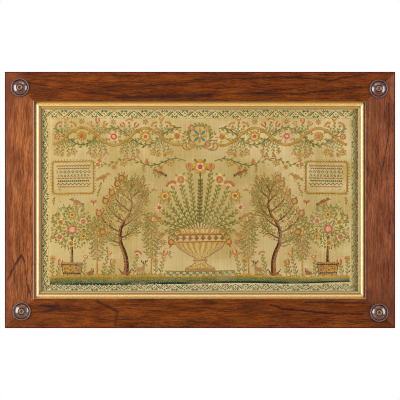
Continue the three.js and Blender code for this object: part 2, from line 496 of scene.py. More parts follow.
def slipSection(look):
    hidden, visible = railWidth - look["hidden"], railWidth + look["gap"]
    flatEnd = railWidth + look["flatWidth"]
    beadCentre = flatEnd + look["beadRadius"]
    beadEnd = beadCentre + look["beadRadius"]
    fillet = beadEnd + look["grooveWidth"]
    sightEdge = fillet + look["filletWidth"]
    filletTop, filletLow, edge = look["filletTop"], look["filletTop"] - look["filletDrop"], look["filletEdge"]
    return [(hidden, look["back"]), (hidden, look["underLip"]), (visible, look["underLip"]),
            (visible, look["flatTop"]), (flatEnd, look["flatTop"]),
            *arc((beadCentre, look["beadTop"] - look["beadRadius"]), look["beadRadius"], 180, 0,
                 look["beadSteps"]),
            (beadEnd, look["grooveTop"]), (fillet, look["grooveTop"]), (fillet, filletTop - edge),
            (fillet + edge, filletTop - edge / 5), (sightEdge - edge, filletLow + edge / 5),
            (sightEdge, filletLow - edge), (sightEdge, look["back"])]


def moulding(name, section, side, material, node):
    length = side["length"]
    bm = bmesh.new()
    face = bm.faces.new([bm.verts.new((inward, -height, 0)) for inward, height in section])
    pushed = bmesh.ops.extrude_face_region(bm, geom=[face])["geom"]
    far = [v for v in pushed if isinstance(v, bmesh.types.BMVert)]
    bmesh.ops.translate(bm, verts=far, vec=(0, 0, length))
    lengthwise = [e for e in bm.edges if abs(e.verts[0].co.z - e.verts[1].co.z) > length / 2]
    bmesh.ops.subdivide_edges(bm, edges=lengthwise, cuts=mouldingLook["cuts"], use_grid_fill=True)
    for v in bm.verts:
        # the ends are mitred, and what lies between is shared out along the side
        share = 2 * v.co.z / length - 1
        inward = v.co.x
        along = share * (length / 2 - inward - mouldingLook["setBack"])
        if inward < railWidth - 1 and abs(share) < 0.999 and v.co.y < -1:
            spot = (along / mouldingLook["waverLength"], inward / mouldingLook["waverWidth"],
                    side["turns"] * 5 + 1)
            v.co.y += max(noise.noise(Vector(spot)), 0) * mouldingLook["waver"]
        v.co.z = along
        v.co.x = inward - side["spread"] / 2
    quarterTurns = Matrix.Rotation(side["turns"] * math.pi / 2, 3, "Y")
    bmesh.ops.rotate(bm, verts=bm.verts, cent=(0, 0, 0), matrix=quarterTurns)
    piece = finished(bm, name, material, (0, 0, middleZ), 35)
    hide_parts(node)


for sideName, side in sides.items():
    moulding("rosewood_rail_" + sideName, railSection(railLook), side, rosewood(sideName),
             "rail_" + sideName)
    moulding("gilt_slip_" + sideName, slipSection(slipLook), side, gilding(sideName),
             "slip_" + sideName)
print("rails and slips made")

# Turned bosses: radius and height off the rail, from the rim to the middle
bossLook = {
    "profile": [(21.5, 0), (21.5, 1.6), (20.8, 3.4), (19.5, 4.2), (18.2, 3.5), (17.6, 2.3), (16.9, 2.6),
                (16.2, 3.5), (15, 4.4), (13.6, 5.3), (12, 6.1), (10.4, 6.8), (8.6, 7.5), (7.9, 7.3),
                (7.4, 7), (6.9, 8.3), (6.2, 9.5), (5.3, 10.1), (4.5, 10.2), (3.6, 9.7), (2.8, 8.8),
                (2, 8), (1, 7.6), (0, 7.5)],
    "between": 3, "steps": 88, "gap": 0.3,
}


def smoothed(points, between):
    # a curve through the points
    last = len(points) - 1
    out = []
    for i in range(last):
        before, a, b, after = (Vector(points[max(0, min(last, j))]) for j in (i - 1, i, i + 1, i + 2))
        for k in range(between):
            t = k / between
            out.append(0.5 * (2 * a + (b - before) * t + (2 * before - 5 * a + 4 * b - after) * t ** 2
                              + (3 * a - before - 3 * b + after) * t ** 3))
    return [*out, Vector(points[-1])]


def boss(node, look, material):
    low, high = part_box(node)
    centre = [(a + b) / 2 / mm for a, b in zip(low, high)]
    centre[1] = -railFace - look["gap"]
    bm = bmesh.new()
    outline = [Vector((0, 0)), Vector(look["profile"][0]), *smoothed(look["profile"][1:], look["between"])]
    profile = [bm.verts.new((max(0, radius), -height, 0)) for radius, height in outline]
    edges = [bm.edges.new(pair) for pair in zip(profile, profile[1:])]
    bmesh.ops.spin(bm, geom=[*profile, *edges], axis=(0, 1, 0), cent=(0, 0, 0), dvec=(0, 0, 0),
                   angle=2 * math.pi, steps=look["steps"], use_merge=True)
    bmesh.ops.remove_doubles(bm, verts=bm.verts, dist=0.001)
    reach, sideways = bm.verts.layers.float.new("reach"), bm.verts.layers.float.new("sideways")
    for v in bm.verts:
        v[reach] = math.hypot(v.co.x, v.co.z)
        v[sideways] = abs(v.co.x) / max(v[reach], 0.1)
    piece = finished(bm, "turned_" + node, material, centre, 50)
    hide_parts(node)


bossWood = turnedWood()
for corner in ("top_left", "top_right", "bottom_left", "bottom_right"):
    boss("boss_" + corner, bossLook, bossWood)
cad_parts["backboard"].material_slots[0].material = pine()
print("bosses made")

# Places on the cloth are in millimetres from its middle: x to the right, z up
clothLook = {"front": 7.2, "thickness": 1.5, "cell": 4.9, "swell": 1.6, "swellStart": 60,
             "pucker": 0.16, "puckerStart": 20}
# Tones of the linen. Its marks are: size across and up; seed, detail and roughness; from and to;
# share; colour
linenLook = {
    "pale": (209, 184, 131), "aged": (184, 158, 95),
    "marks": {
        "broad": ((5.5, 170), (5.0, 2.0, 0.5), (0.5, 0.66), 0.3, (222, 200, 156)),
        "slub": ((2.6, 110), (1.0, 3.0, 0.6), (0.35, 0.68), 0.26, (152, 128, 66)),
        "weft": ((90, 1.3), (2.0, 2.0, 0.5), (0.45, 0.7), 0.14, (214, 194, 140)),
        "blot": ((34, 30), (4.0, 2.0, 0.5), (0.6, 0.76), 0.25, (156, 122, 62)),
    },
    "middle": (168, 143, 78), "lowLeft": (180, 154, 90), "lightened": (232, 206, 138),
    "foot": (206, 198, 162), "shaded": (92, 70, 28), "threadPitch": 0.85,
}


def clothRise(x, z):
    # how far the cloth stands forward of its flat place: soft waves, and puckers between the stitches
    inside = np.minimum(sightX - np.abs(x), sightZ - np.abs(z))
    share = np.clip(inside / clothLook["swellStart"], 0, 1)
    rise = share ** 2 * (3 - 2 * share)
    waves = 0.5 + 0.28 * np.sin(x / 61 + 0.6) * np.cos(z / 83) + 0.22 * np.sin(x / 37 - z / 52)
    fine = np.sin(x / 6.9 + 1.9 * np.sin(z / 33)) * np.cos(z / 8.7 + 1.6 * np.sin(x / 41))
    puckered = np.clip(inside / clothLook["puckerStart"], 0, 1)
    return clothLook["swell"] * rise * waves + clothLook["pucker"] * puckered * fine


def linen():
    cloth = Finish("linen", Roughness=0.95, Specular_IOR_Level=0.15)
    x, y, fullZ = cloth.place()
    z = fullZ - middleZ
    age = cloth.noise(x / 120, z / 90, 3.0, 3.0)
    colour = cloth.mix(cloth.step(age, 0.36, 0.62), paint(*linenLook["pale"]), paint(*linenLook["aged"]))
    marks = {}
    for name, (size, texture, edges, share, tone) in linenLook["marks"].items():
        marks[name] = cloth.noise(x / size[0], z / size[1], *texture)
        colour = cloth.wash(colour, cloth.step(marks[name], *edges) * share, tone)
    # darker in a wide oval below the middle and at the lower left
    low = z + 20
    oval = cloth.step(x * x / 300 ** 2 + low * low / 150 ** 2, 1.3, 0.1)
    colour = cloth.wash(colour, oval * 0.5, linenLook["middle"])
    lowLeft = cloth.step(x, -60, -240) * cloth.step(z, 140, 70)
    colour = cloth.wash(colour, lowLeft * 0.45, linenLook["lowLeft"])
    # lighter in strips along the left, painted light against the slip's shadow, and along the top and the
    # bottom;
    # darker, as painted shade, at the right in the slip's shade and at the top and bottom edges
    lighterStrips = cloth.step(x, 24 - sightX, 8 - sightX) * 0.55 + cloth.step(z, sightZ - 26, sightZ - 10) * 0.35
    colour = cloth.wash(colour, lighterStrips, linenLook["lightened"])
    colour = cloth.wash(colour, cloth.step(z, 24 - sightZ, 12 - sightZ) * 0.4, linenLook["foot"])
    shade = cloth.step(x, sightX - 20, sightX) * 0.62 + cloth.step(z, sightZ - 4, sightZ) * 0.1
    shade += cloth.step(z, 3 - sightZ, -sightZ) * 0.3
    cloth.give("Base Color", cloth.wash(colour, shade, linenLook["shaded"]))
    # plain weave: one thread over, one under
    turn = 2 * math.pi / linenLook["threadPitch"]
    over = cloth.math("SINE", x * turn + (marks["slub"] - 0.5) * 3)
    under = cloth.math("SINE", z * turn + (marks["weft"] - 0.5) * 2)
    cloth.bump(over * under * 0.5 + over * over * 0.3 + marks["slub"] * 0.8, 0.16, 0.35)
    return cloth.material


def clothPiece():
    columns, rows = round(clothWidth / clothLook["cell"]), round(clothHeight / clothLook["cell"])
    bm = bmesh.new()
    bmesh.ops.create_grid(bm, x_segments=columns, y_segments=rows, size=0.5,
                          matrix=Matrix.Rotation(math.pi / 2, 4, "X"))
    bmesh.ops.scale(bm, verts=bm.verts, vec=(clothWidth, 1, clothHeight))
    bm.normal_update()
    if bm.faces[:][0].normal.y < 0:
        bmesh.ops.reverse_faces(bm, faces=bm.faces)
    for v in bm.verts:
        v.co.y = clothLook["thickness"] - clothLook["front"]
    bmesh.ops.solidify(bm, geom=bm.faces[:], thickness=clothLook["thickness"])
    for v in bm.verts:
        v.co.y -= float(clothRise(v.co.x, v.co.z))
    # the front takes the upper part of the map, and the back and the edges a smaller part below
    frontShare, backScale = 0.405, 0.67
    bake = bm.loops.layers.uv.new("OFBake")
    for face in bm.faces:
        centre = face.calc_center_median()
        middle = clothLook["thickness"] / 2 - clothLook["front"] - float(clothRise(*centre.xz))
        for loop in face.loops:
            u, v = loop.vert.co.x / clothWidth + 0.5, (loop.vert.co.z + clothHeight / 2) / clothWidth
            loop[bake].uv = (u, frontShare + v) if centre.y < middle else (u * backScale, v * backScale)
    piece = finished(bm, "linen_cloth", linen(), (0, 0, middleZ), 60)
    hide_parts("sampler_cloth")
    return piece


cloth = clothPiece()
print("cloth made")

# Threads: darker and lighter colour
threads = {
    "ink": ((20, 36, 32), (38, 60, 50)),
    "pine": ((62, 76, 30), (100, 110, 50)),
    "fern": ((90, 98, 32), (128, 134, 54)),
    "sage": ((118, 112, 42), (158, 148, 66)),
    "moss": ((122, 102, 30), (162, 138, 52)),
    "celadon": ((96, 114, 72), (142, 154, 106)),
    "teal": ((66, 98, 84), (110, 138, 112)),
    "ochre": ((164, 118, 34), (204, 156, 60)),
    "straw": ((190, 158, 84), (224, 196, 124)),
    "tan": ((150, 108, 56), (190, 144, 84)),
    "bark": ((50, 30, 18), (88, 56, 34)),
    "rust": ((132, 72, 28), (176, 110, 52)),
    "coral": ((170, 72, 50), (208, 114, 84)),
    "blush": ((204, 146, 106), (230, 184, 144)),
    "ivory": ((212, 196, 148), (238, 226, 186)),
}
# Sides to sew on, how far lines stray, how deep a stitch sits, and from how many widths it has a flat top
needle = {"sides": (1,), "drift": 0.7, "sunk": 0.05, "longFrom": 1.95}
greens = ("sage", "moss", "fern", "sage", "moss")
dice = random.Random(20)
sewn = {thread: [] for thread in threads}


def sew(thread, start, end, width=1.1, lift=0.42, above=0.0, shade=0.5):
    for side in needle["sides"]:
        a, b = (start, end) if side > 0 else (-start.conjugate(), -end.conjugate())
        tone = shade + dice.uniform(-0.2, 0.2)
        sewn[thread].append((a.real, a.imag, b.real, b.imag, width, lift, above, tone))


def mirrored(*parts):
    # works each part on the right and its mirror image on the left
    needle["sides"] = both
    for part in parts:
        part()
    needle["sides"] = (1,)


def ray(degrees, length=1.0):
    return cmath.rect(length, math.radians(degrees))


def trail(start, heading, length, bend=0, curl=0, step=2.6):
    # a path that sets off at heading, turns by bend on its way and by curl near its end
    count = max(2, round(length / step))
    points = [start]
    for i in range(count):
        share = (i + 0.5) / count
        points.append(points[-1] + ray(heading + bend * share + curl * share ** 3, length / count))
    return points


def headingAt(path, i):
    i = min(i, len(path) - 2)
    return math.degrees(cmath.phase(path[i + 1] - path[i]))


def endOf(path):
    return path[-1], headingAt(path, len(path))


def stem(thread, path, width=0.95, shade=0.5, above=0.0):
    for a, b in zip(path, path[1:]):
        run = b - a
        lean = 1j * run / abs(run) * width * 0.18
        sew(thread, a - run * 0.18 - lean, b + run * 0.18 + lean, width, above=above, shade=shade)


def bar(thread, start, end, width):
    # satin laid lengthways: threads side by side, the middle ones longer
    rows = max(2, round(width / 1.1))
    ahead = (end - start) / abs(end - start)
    for row in range(rows):
        offset = (row + 0.5) / rows - 0.5
        shift, short = 1j * ahead * offset * width, ahead * abs(offset) * width * 0.6
        sew(thread, start + shift + short, end + shift - short, width / rows * 1.35, shade=0.5 + offset * 0.3)


def limb(path, thick, thin, dark="bark", light="rust"):
    # rows of stem stitch side by side: dark on the left, light on the right
    for i, (a, b) in enumerate(zip(path, path[1:])):
        run = b - a
        width = thick + (thin - thick) * i / (len(path) - 1)
        rows = max(1, round(width / 1.2))
        for row in range(rows):
            offset = 0.5 - (row + 0.5) / rows
            thread = dark if offset > 0.05 or dice.random() < 0.12 else light
            shift = 1j * run / abs(run) * offset * width + run * dice.uniform(-0.3, 0.3)
            sew(thread, a + shift - run * 0.24, b + shift + run * 0.24, 1.6, shade=0.5 - offset * 0.6)


def ribbon(path, width, thread, edge):
    # slanted satin across a path, with a line along its lower edge
    for a, b in zip(path, path[1:]):
        ahead = (b - a) / abs(b - a)
        slant = 1j * ahead * width / 2 + ahead * 0.9
        pieces = max(1, round(abs(b - a) / 1.1))
        for k in range(pieces):
            spot = a + (b - a) * k / pieces
            shade = 0.55 + 0.15 * math.sin(len(path) + spot.real / 5)
            sew(thread, spot - slant, spot + slant, 1.4, 0.5, 0.1, shade)
    lower = [a - 1j * (b - a) / abs(b - a) * width * 0.52 for a, b in zip(path, path[1:])]
    stem(edge, lower, 0.9, 0.4, 0.1)


def leaf(thread, base, heading, length, width, bend=0, pitch=1.05, point=0.8):
    # slanted satin on each side of a curved rib
    rib = trail(base, heading, length, bend, step=pitch)
    for i, (a, b) in enumerate(zip(rib, rib[1:])):
        ahead = (b - a) / abs(b - a)
        half = width / 2 * math.sin(math.pi * ((i + 0.6) / len(rib)) ** point)
        for side in both:
            tip = a + ahead * (half * 0.75 + 0.3) + side * 1j * ahead * half
            sew(thread, a - ahead * 0.2, tip, pitch * 1.3, shade=0.5 + side * 0.18)


def dash(thread, base, heading, length, width, shade=0.5):
    sew(thread, base, base + ray(heading, length), width, 0.5, shade=shade)


def ring(thread, centre, inner, outer, lobes=0, depth=0.12, turn=0, shade=0.5, above=0.0, pitch=1.0):
    count = max(6, round(2 * math.pi * outer / pitch))
    for i in range(count):
        angle = 360 * i / count
        wave = math.cos(math.radians(lobes * angle)) if lobes else 0
        start = centre + ray(angle + turn, inner)
        end = centre + ray(angle + turn + 4, outer * (1 + depth * wave))
        sew(thread, start, end, pitch * 1.25, 0.5, above, shade + 0.25 * wave)


def berry(centre, radius, thread="coral", spark="blush"):
    ring(thread, centre, 0.2, radius, pitch=1.25, shade=0.4)
    sew(spark, centre + complex(-0.4, 0.2) * radius, centre + complex(0.1, 0.6) * radius, 0.9, 0.35, 0.3)


def rose(centre, radius, outer="coral", middle="blush", heart="straw", turn=0):
    for i in range(5):
        angle = turn + 36 + 72 * i
        leaf("sage", centre + ray(angle, radius * 0.8), angle, radius * 0.55, radius * 0.3)
    ring(outer, centre, radius * 0.55, radius, 5, turn=turn)
    ring(middle, centre, radius * 0.3, radius * 0.6, 5, 0.1, turn + 36, above=0.12)
    ring(heart, centre, 0.2, radius * 0.33, above=0.2, pitch=1.2)


def daisy(centre, radius, petal, heart, petals):
    for i in range(petals):
        angle = 360 * i / petals
        for spread in (-12, 0, 12):
            foot, tip = ray(angle, radius * 0.25), ray(angle + spread, radius * (1 - abs(spread) / 90))
            sew(petal, centre + foot, centre + tip, radius * 0.2, 0.5, shade=0.6 - abs(spread) / 60)
    ring(heart, centre, 0.2, radius * 0.32, above=0.25, pitch=1.2)


def tulip(base, heading, size, outer="coral", inner="straw"):
    leaf(inner, base, heading, size, size * 0.5)
    for side in both:
        foot = base + ray(heading + side * 90, size * 0.06)
        leaf(outer, foot, heading + side * 38, size * 1.05, size * 0.42, -side * 55)
    ring("sage", base, 0.2, size * 0.16, pitch=1.3, above=0.2)


def carnation(base, heading, size, outer="coral", inner="blush"):
    spokes = round(size * 1.15)
    for i in range(spokes):
        angle = heading + 110 * (i / (spokes - 1) - 0.5)
        odd = i % 2
        tip = base + ray(angle, size * (1 if odd else 0.86))
        sew(outer, base + ray(angle, size * 0.5), tip, 1.35, 0.5, shade=0.4 + 0.2 * odd)
        sew(inner, base + ray(angle, size * 0.2), base + ray(angle, size * 0.58), 1.15, 0.45)
    leaf("moss", base - ray(heading, size * 0.12), heading, size * 0.42, size * 0.34)


def bell(base, heading, size, outer="ochre", inner="coral"):
    # a flower seen from the side: a cup of upright satin with an open mouth
    spokes = round(size * 0.95)
    for i in range(spokes):
        lean = 54 * (i / (spokes - 1) - 0.5)
        foot = base + ray(heading + lean * 0.4, size * 0.06)
        sew(outer, foot, base + ray(heading + lean, size * 0.86), 1.6, 0.5, shade=0.65 - abs(lean) / 80)
    mouth = base + ray(heading, size * 0.86)
    for i in range(20):
        spoke = ray(18 * i)
        rim = complex(spoke.real * size * 0.17, spoke.imag * size * 0.42) * ray(heading)
        sew("blush", mouth, mouth + rim * 0.8, 1.5, 0.45, 0.1, 0.6)
        sew(inner, mouth + rim * 0.74, mouth + rim * 1.16, 1.5, 0.5, 0.2, 0.4)
    leaf("moss", base - ray(heading, size * 0.1), heading, size * 0.36, size * 0.3)


def pomegranate(base, heading, radius, gap):
    centre = base + ray(heading, gap)
    ring("rust", centre, radius * 0.55, radius, turn=7)
    ring("ochre", centre, 0.2, radius * 0.6, shade=0.6, above=0.08)
    for i in range(5):
        berry(centre + ray(72 * i + 20, radius * 0.32), radius * 0.14)
    for lean in (-34, 0, 34):
        leaf("rust", centre + ray(heading, radius * 0.92), heading + lean, radius * 0.5, radius * 0.3)


def star(centre, radius, first="teal", second="ochre"):
    for i in range(8):
        foot = centre + ray(45 * i, radius * 0.06)
        leaf(first if i % 2 else second, foot, 45 * i, radius, radius * 0.36, point=1.0)
    ring("ivory", centre, 0.1, radius * 0.14, above=0.25, pitch=1.2)


def opening(flower, *look):
    # what a stem ends in: a flower that faces along it
    return lambda end, heading: flower(end, heading, *look)


def beyond(gap, flower, *look):
    # what a stem ends in: a round flower with its middle a gap past the end
    return lambda end, heading: flower(end + ray(heading, gap), *look)


def sprig(base, heading, length, bend, every, size, tip, width=1.05):
    # a stem with leaves set in turn on each side, and what it carries at its tip
    path = trail(base, heading, length, bend)
    stem("moss", path, width, 0.4)
    count = max(1, int(length / every))
    for k in range(1, count + 1):
        i = min(len(path) - 2, round(k * (len(path) - 1) / (count + 0.6)))
        side = 1 if k % 2 else -1
        leafLength = size * (1.1 - 0.35 * k / count)
        leaf(greens[k % 5], path[i], headingAt(path, i) + side * 50, leafLength, size * 0.42, -side * 25)
    tip(*endOf(path))


def cross(thread, centre, pitch):
    # two stitches, the upper one paler
    half = pitch * 0.56
    for rise, above, shade in ((1, 0.0, 0.42), (-1, 0.2, 0.58)):
        corner = complex(half, half * rise)
        sew(thread, centre - corner, centre + corner, pitch * 0.62, 0.4, above, shade)


def chart(rows, key, corner, pitch):
    # cross stitches from a chart whose rows run downwards from the corner
    for j, row in enumerate(rows):
        for i, letter in enumerate(row):
            if letter in key:
                cross(key[letter], corner + complex(i * pitch, -j * pitch), pitch)


# Share of the way from rump to breast, and half widths above and below the spine as hundredths of its size
birdShape = {"share": (0, 0.15, 0.35, 0.6, 0.8, 0.92, 1), "above": (6, 15, 21, 22, 18, 11, 2),
             "below": (6, 17, 26, 28, 22, 12, 2), "tailStitches": 6}


def bird(rump, size, facing, back, wing, breast):
    # facing 1 looks to the right; the body slopes up from the rump to the breast
    def spot(ahead, up):
        return rump + size * complex(facing * ahead, up)

    for k in range(birdShape["tailStitches"]):
        feather = "tan" if k % 3 == 1 else wing
        start, end = spot(0.1, 0.05 - 0.02 * k), spot(-0.32, -0.02 - 0.06 * k)
        sew(feather, start, end, 1.7, 0.5, shade=0.4 + 0.05 * k)
    for t in np.linspace(0, 1, round(size * 0.75)):
        for edge, sign, thread in (("above", 1, back), ("below", -1, breast)):
            half = float(np.interp(t, birdShape["share"], birdShape[edge])) / 100
            ahead, up = 0.7 * t, 0.24 * t
            end = spot(ahead - sign * half * 0.32, up + sign * half)
            sew(thread, spot(ahead, up), end, 1.5, 0.6, shade=0.5 + sign * 0.08)
    ring(back, spot(0.76, 0.38), 0.1, size * 0.15, pitch=1.1, above=0.1)
    leaf(wing, spot(0.6, 0.22), 90 + facing * 108, size * 0.62, size * 0.3, 6 * facing)
    sew("bark", spot(0.88, 0.39), spot(1.03, 0.35), 1.8, 0.5, 0.2)
    sew("ink", spot(0.78, 0.41), spot(0.82, 0.41), 1.2, 0.5, 0.5)
    for ahead in (0.36, 0.5):
        stem("bark", [spot(ahead, -0.14), spot(ahead + 0.03, -0.36)], 1.0)


def butterfly(centre, size, wing="coral", other="straw"):
    for side in both:
        leaf(wing, centre, 90 - side * 48, size, size * 0.66, side * 20)
        leaf(other, centre, 90 - side * 118, size * 0.75, size * 0.56, -side * 20)
        feeler = trail(centre + ray(90, size * 0.2), 90 - side * 20, size * 0.5, -side * 50, step=1.6)
        stem("bark", feeler, 0.7)
    stem("bark", [centre - ray(90, size * 0.35), centre + ray(90, size * 0.3)], 1.4, above=0.2)


def filled(bottom, top, left, right, pick, pitch=1.5, length=4.6):
    # rows of level stitches laid like bricks between two edges that may change with height
    for j in range(round((top - bottom) / pitch)):
        z = bottom + (j + 0.5) * pitch
        lowX, highX = left(z), right(z)
        x = lowX - dice.uniform(0, length)
        while x < highX:
            a, b = max(x, lowX), min(x + length, highX)
            if b - a > 0.8:
                thread, shade = pick((a + b) / 2, z)
                sew(thread, complex(a - 0.3, z), complex(b + 0.3, z), pitch * 1.3, 0.42, shade=shade)
            x += length


# The border: a zigzag of paired strokes with a berry in each bend and leaves in its open side
borderLook = {"sideInset": 15.5, "topInset": 22, "bottomInset": 15, "berryPitch": 22.9, "berry": 2.5,
              "lineDash": 3.0, "lineThreads": ("sage", "moss", "sage", "fern"), "fullBand": 18}
lineX = sightX - borderLook["sideInset"]
topLine = sightZ - borderLook["topInset"]
bottomLine = borderLook["bottomInset"] - sightZ
# Each run: start, end, inward direction, the band's edges outwards from the line, whether the line is sewn
borderRuns = [
    (complex(-lineX, topLine), complex(lineX, topLine), -1j, 1.0, 20.0, True),
    (complex(lineX, bottomLine), complex(-lineX, bottomLine), 1j, -1.2, 13.6, False),
    (complex(-lineX, bottomLine), complex(-lineX, topLine), 1, 1.2, 15.0, True),
    (complex(lineX, topLine), complex(lineX, bottomLine), -1, 1.2, 15.0, True),
]


def borderRepeat(berryAt, forward, outward, wide, pale, first):
    # along and out are in millimetres from the berry, which opens outwards
    def spot(along, out):
        return berryAt + forward * along + outward * out

    berry(spot(0, 0.6), borderLook["berry"] * wide, "coral", "rust")
    bar("celadon", spot(0, 4.2), spot(0, 9.6), 2.3 * wide)
    for side in both:
        # leaves in the open side, then beside the berry
        bar("pine", spot(side * 1.6, 3.8), spot(side * 5.8, 9.2), 2.2 * wide)
        bar("celadon", spot(side * 2.6, 3.0), spot(side * 8.8, 6.8), 2.3 * wide)
        bar("fern", spot(side * 3.8, 1.2), spot(side * 7.8, 2.5), 1.8 * wide)
        bar("celadon", spot(side * 2.4, -2.0), spot(side * 5.0, -3.8), 1.8 * wide)
        bar(pale, spot(side * 8.6, 8.8), spot(side * 12.8, 7.2), 2.4 * wide)
        bar(pale, spot(side * 1.4, -9.2), spot(side * 6.6, -9.2), 1.7 * wide)
    # the vine: it passes the berry on its closed side, and paired strokes take it on to the next bend
    bar("fern", spot(-2.8, -6.6), spot(2.8, -6.7), 2.0 * wide)
    for ahead in (both if first else (1,)):
        for shift, thread in ((-3.0, "celadon"), (2.1, "pine")):
            bar(thread, spot(ahead * (4.4 + shift), -6.8), spot(ahead * (18.9 + shift), 6.8), 2.1 * wide)
        bar(pale, spot(ahead * 6.4, -4.6), spot(ahead * 16.4, 4.8), 1.1 * wide)


def border():
    for start, end, inward, low, high, lined in borderRuns:
        run = end - start
        forward = run / abs(run)
        count = 2 * round(abs(run) / borderLook["berryPitch"] / 2)
        pitch, middle = abs(run) / count, (low + high) / 2
        narrow = (high - low) / borderLook["fullBand"]
        for k in range(count):
            berryAt = start + forward * (k + 0.5) * pitch - inward * (middle + dice.uniform(-0.4, 0.4))
            outward = -inward * narrow if k % 2 else inward * narrow
            borderRepeat(berryAt, forward * pitch / borderLook["berryPitch"], outward, 0.55 + 0.45 * narrow,
                         "straw" if lined else "ivory", k == 0)
        steps = round(abs(run) / borderLook["lineDash"]) if lined else 0
        for k in range(steps):
            a = start + run * (k + 0.1) / steps
            sew(borderLook["lineThreads"][k % 4], a, a + run * 0.85 / steps, 1.5)
    # a cluster fills each corner
    for side in both:
        for x, z in ((lineX + 8, topLine + 10.5), (lineX + 8, bottomLine - 6)):
            middle = complex(side * x, z)
            berry(middle, 2.6)
            for k in range(8):
                heading, odd = 22.5 + 45 * k, k % 2
                thread = "celadon" if odd else "pine"
                bar(thread, middle + ray(heading, 3.4), middle + ray(heading, 9 - 2 * odd), 2.2)


# The ground: level rows from a dark lower edge to ochre at the top
groundLook = {"rows": 14, "inset": 4, "stitch": (3.6, 5.6), "edgeStep": 4.0, "tufts": 110,
              "tuftLeans": (-28, 0, 26)}


def groundTop(x):
    return -174.5 + 1.3 * math.sin(x / 60 + 0.4) + 0.8 * math.sin(x / 23) + 2.6 * math.cos(x / 150 + 0.4)


def groundLine(x):
    return -191.8 + 1.0 * math.sin(x / 60 + 1) + (0.009 * x if x > 0 else 0.011 * x)


def groundAt(x, share):
    low = groundLine(x)
    return low + (groundTop(x) - low) * share


def groundThread(share, band):
    if share < 0.15:
        return "ink"
    if band < 0.36:
        return dice.choice(("pine", "fern", "fern"))
    if band < 0.52:
        return dice.choice(("fern", "sage", "teal"))
    return "moss" if band < 0.74 else "ochre"


def ground():
    end = lineX - groundLook["inset"]
    for j in range(groundLook["rows"]):
        share = (j + 0.5) / groundLook["rows"]
        x = -end - dice.uniform(0, 4)
        while x < end:
            after = x + dice.uniform(*groundLook["stitch"])
            thread = groundThread(share, share + dice.uniform(-0.06, 0.06))
            first = complex(x - 0.4, groundAt(x, share))
            last = complex(min(after, end + 1) + 0.4, groundAt(after, share))
            sew(thread, first, last, 1.95, 0.45, shade=0.35 + 0.2 * share)
            x = after
    edge = [complex(x, groundLine(x)) for x in np.arange(2 - lineX, lineX, groundLook["edgeStep"])]
    for offset in (0, 1.2):
        stem("ink", [p - 1j * offset for p in edge], 1.9, 0.3)
    for i in range(groundLook["tufts"]):
        x = dice.uniform(6 - lineX, lineX - 6)
        for lean in groundLook["tuftLeans"]:
            thread = dice.choice(("sage", "moss"))
            dash(thread, complex(x, groundTop(x) - 0.5), 90 + lean, dice.uniform(3, 5.5), 1.1)


# The upper band: a leafy vine and a ribbon that cross, with flowers between, above and below
vineLook = {
    "middle": 147, "swing": 20, "wave": 148, "first": 15, "leafStep": 6.6, "curlEvery": 4,
    # x, flower, radius and colours
    "blooms": [(52, rose, 12.5, "straw", "ochre", "coral", 8), (126, rose, 13, "ochre", "straw", "coral", 20),
               (200, rose, 12.5, "blush", "coral", "straw", 4), (274, daisy, 13, "ochre", "coral", 10),
               (330, rose, 7, "coral", "blush", "ochre")],
    "crossings": (89, 163, 237, 311), "stars": (126, 200, 274),
    "rising": (opening(bell, 13), opening(carnation, 14, "ochre", "blush"), opening(tulip, 12)),
    "hanging": (beyond(4, daisy, 6.5, "ochre", "coral", 7), opening(bell, 12, "tan", "coral"),
                beyond(5, rose, 7, "ochre", "straw", "coral")),
}


def swungAt(x, side):
    angle = 2 * math.pi * (x - vineLook["first"]) / vineLook["wave"]
    return complex(x, vineLook["middle"] + side * vineLook["swing"] * math.sin(angle))


def vine():
    ribbon([swungAt(x, -1) for x in np.arange(40, 342, 3.0)], 6.4, "ochre", "tan")
    limb([swungAt(x, 1) for x in np.arange(44, 342, 3.4)], 2.8, 2.4, "pine", "moss")
    for k, x in enumerate(np.arange(48, 338, vineLook["leafStep"])):
        turn = 1 if k % 2 else -1
        slope = math.degrees(cmath.phase(swungAt(x + 1, 1) - swungAt(x, 1)))
        leaf(greens[k % 5], swungAt(x, 1), slope + turn * 52, 10.5, 4.6, -turn * 35)
        if k % vineLook["curlEvery"] == 1:
            curled = trail(swungAt(x + 3, 1), slope - turn * 62, 26, turn * 130, turn * 260, 1.7)
            stem("sage", curled, 0.9)
            berry(curled[-1], 2.0, ("coral", "ochre", "rust")[k % 3])
    for x, flower, *look in vineLook["blooms"]:
        place = complex(x, vineLook["middle"])
        for heading in ((28, 152, 208, 332) if x < 320 else ()):
            sprig(place + ray(heading, 10), heading, 15, 30, 4.4, 7, beyond(1, berry, 2.2, "rust"))
        flower(place, *look)
    for k, x in enumerate(vineLook["crossings"]):
        place = complex(x, vineLook["middle"])
        for lean in (-26, 0, 26):
            tip = vineLook["rising"][(k + (lean != 0)) % 3]
            sprig(place + ray(90 + lean, 3), 90 + lean, 23 if lean else 28, lean * 0.3, 4.6, 7.5, tip)
        for lean in (-44, -16, 16, 44):
            tip = vineLook["hanging"][(k + abs(lean) // 20) % 3]
            sprig(place + ray(270 + lean, 3), 270 + lean, 38 - abs(lean) * 0.1, -lean * 0.7, 4.2, 8, tip)
    for x in vineLook["stars"]:
        star(complex(x, 181), 7, "coral", "moss")


# A leafy branch that waves outwards below the upper band
scrollLook = {
    "height": 88, "swing": 7.5, "wave": 17.5, "start": 30,
    "blooms": (beyond(4, rose, 7.5, "ochre", "straw", "coral"), beyond(4, daisy, 7, "ochre", "coral", 8),
               opening(carnation, 11, "ochre", "coral"), opening(bell, 11, "tan", "coral")),
}


